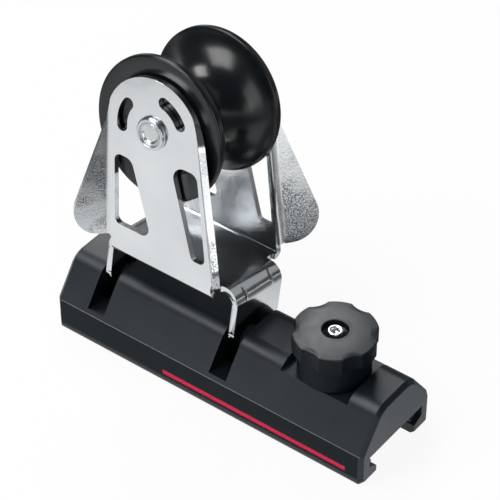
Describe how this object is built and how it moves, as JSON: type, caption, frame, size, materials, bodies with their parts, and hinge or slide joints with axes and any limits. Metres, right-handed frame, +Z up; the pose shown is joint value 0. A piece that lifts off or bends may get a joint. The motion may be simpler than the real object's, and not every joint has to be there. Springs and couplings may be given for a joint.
{
  "type": "genoa lead car",
  "caption": "Track car for a sailing line: a long slotted body, a tilting folded frame with flared cheeks around an hourglass sheave, and a knobbed spring stop pin.",
  "frame": {"origin": "centre of the body's footprint on the underside of its lips; the tilted frame does not shift it along the track", "axes": "+X along the track towards the knob end, +Y across the car, +Z up; the sheave frame leans towards +Y as pictured"},
  "size_m": [0.145, 0.0668, 0.1312],
  "materials": {
    "black_anodised": "satin black anodised",
    "polished_stainless": "polished stainless steel sheet",
    "turned_steel": "turned stainless steel",
    "moulded_black": "smooth black moulding",
    "knob_plastic": "dark grey moulding",
    "liner_plastic": "grey slide liner",
    "bearing_plastic": "amber bearing plastic",
    "bronze": "plain bronze"
  },
  "bodies": {
    "car": {"car_body": "black_anodised", "liner_near": "liner_plastic", "liner_far": "liner_plastic", "pivot_pin": "turned_steel", "pivot_plug": "turned_steel", "pin_sleeve": "bronze", "pin_spring": "turned_steel"},
    "frame": {"sheave_frame": "polished_stainless", "pivot_washer_left_outer": "liner_plastic", "pivot_washer_left_inner": "liner_plastic", "pivot_washer_right_outer": "liner_plastic", "pivot_washer_right_inner": "liner_plastic", "axle": "turned_steel", "axle_washer": "turned_steel", "axle_screw": "turned_steel", "inner_race": "turned_steel", "race_rollers": "bearing_plastic", "side_balls_near": "bearing_plastic", "side_balls_far": "bearing_plastic", "thrust_washer_near": "moulded_black", "thrust_washer_far": "moulded_black"},
    "sheave": {"sheave": "moulded_black"},
    "stop_pin": {"knob": "knob_plastic", "knob_screw": "turned_steel", "stop_pin": "turned_steel"}
  },
  "joints": [
    {"name": "frame_tilt", "type": "hinge", "parent": "car", "child": "frame", "pos_m": [-0.024, 0, 0.0205], "axis": [1, 0, 0], "range_deg": [0, 21.8]},
    {"name": "sheave_spin", "type": "hinge", "parent": "frame", "child": "sheave", "pos_m": [-0.0342, 0.0153, 0.09994], "axis": [0, 0.982, -0.1891], "continuous": true},
    {"name": "stop_pin_lift", "type": "slide", "parent": "car", "child": "stop_pin", "axis": [0, 0, 1], "range_m": [0, 0.008], "stiffness_N_per_m": 900, "springref_m": -0.01, "deforming": ["pin_spring"]}
  ]
}
